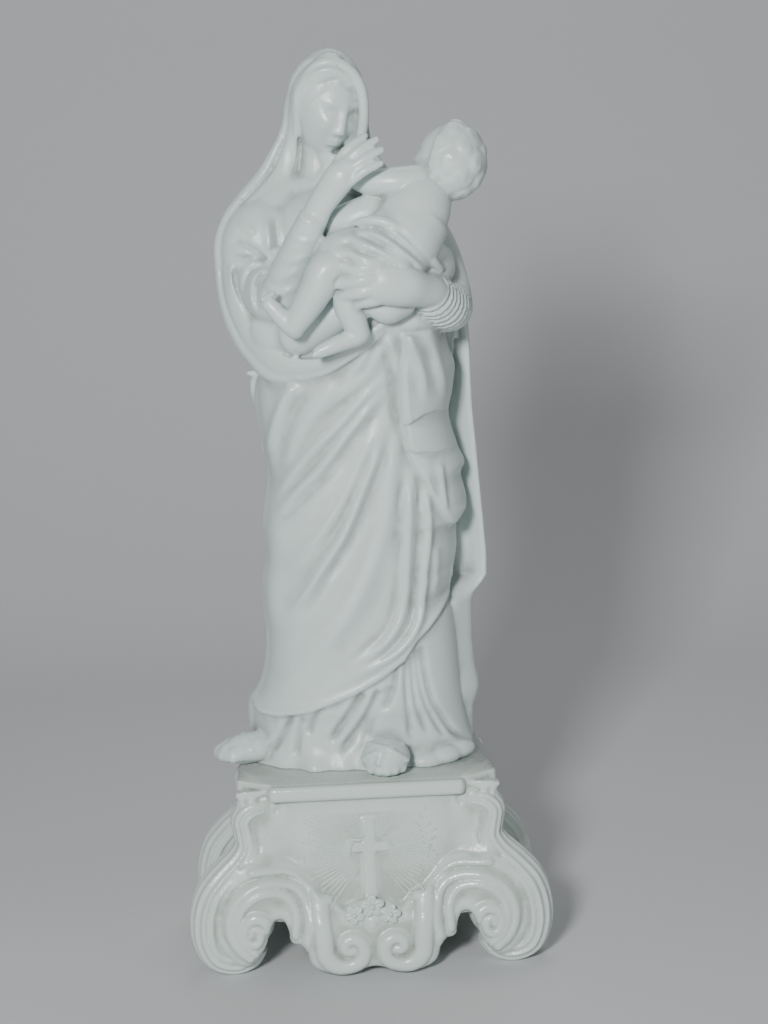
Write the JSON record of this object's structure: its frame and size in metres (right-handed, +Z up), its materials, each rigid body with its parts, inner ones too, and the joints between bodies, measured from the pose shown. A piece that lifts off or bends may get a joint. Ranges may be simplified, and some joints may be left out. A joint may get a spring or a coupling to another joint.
{
  "type": "virgin and child statue",
  "caption": "White cast Virgin and Child: a veiled woman raises one hand and holds a small child, on a rococo scroll pedestal with a cross in rays on its front.",
  "frame": {"origin": "middle of the pedestal's underside, on the surface it stands on", "axes": "+X to the viewer's right across the front, -Y out of the carved front towards the viewer, +Z up"},
  "size_m": [0.144, 0.095, 0.3596],
  "materials": {
    "white_figure": "matt to satin white paint over a plaster cast, slightly grey in the hollows",
    "white_pedestal": "thicker semi-gloss white paint over a plaster cast"
  },
  "bodies": {
    "root": {"virgin_and_child": "white_figure", "rococo_pedestal": "white_pedestal"}
  },
  "joints": []
}
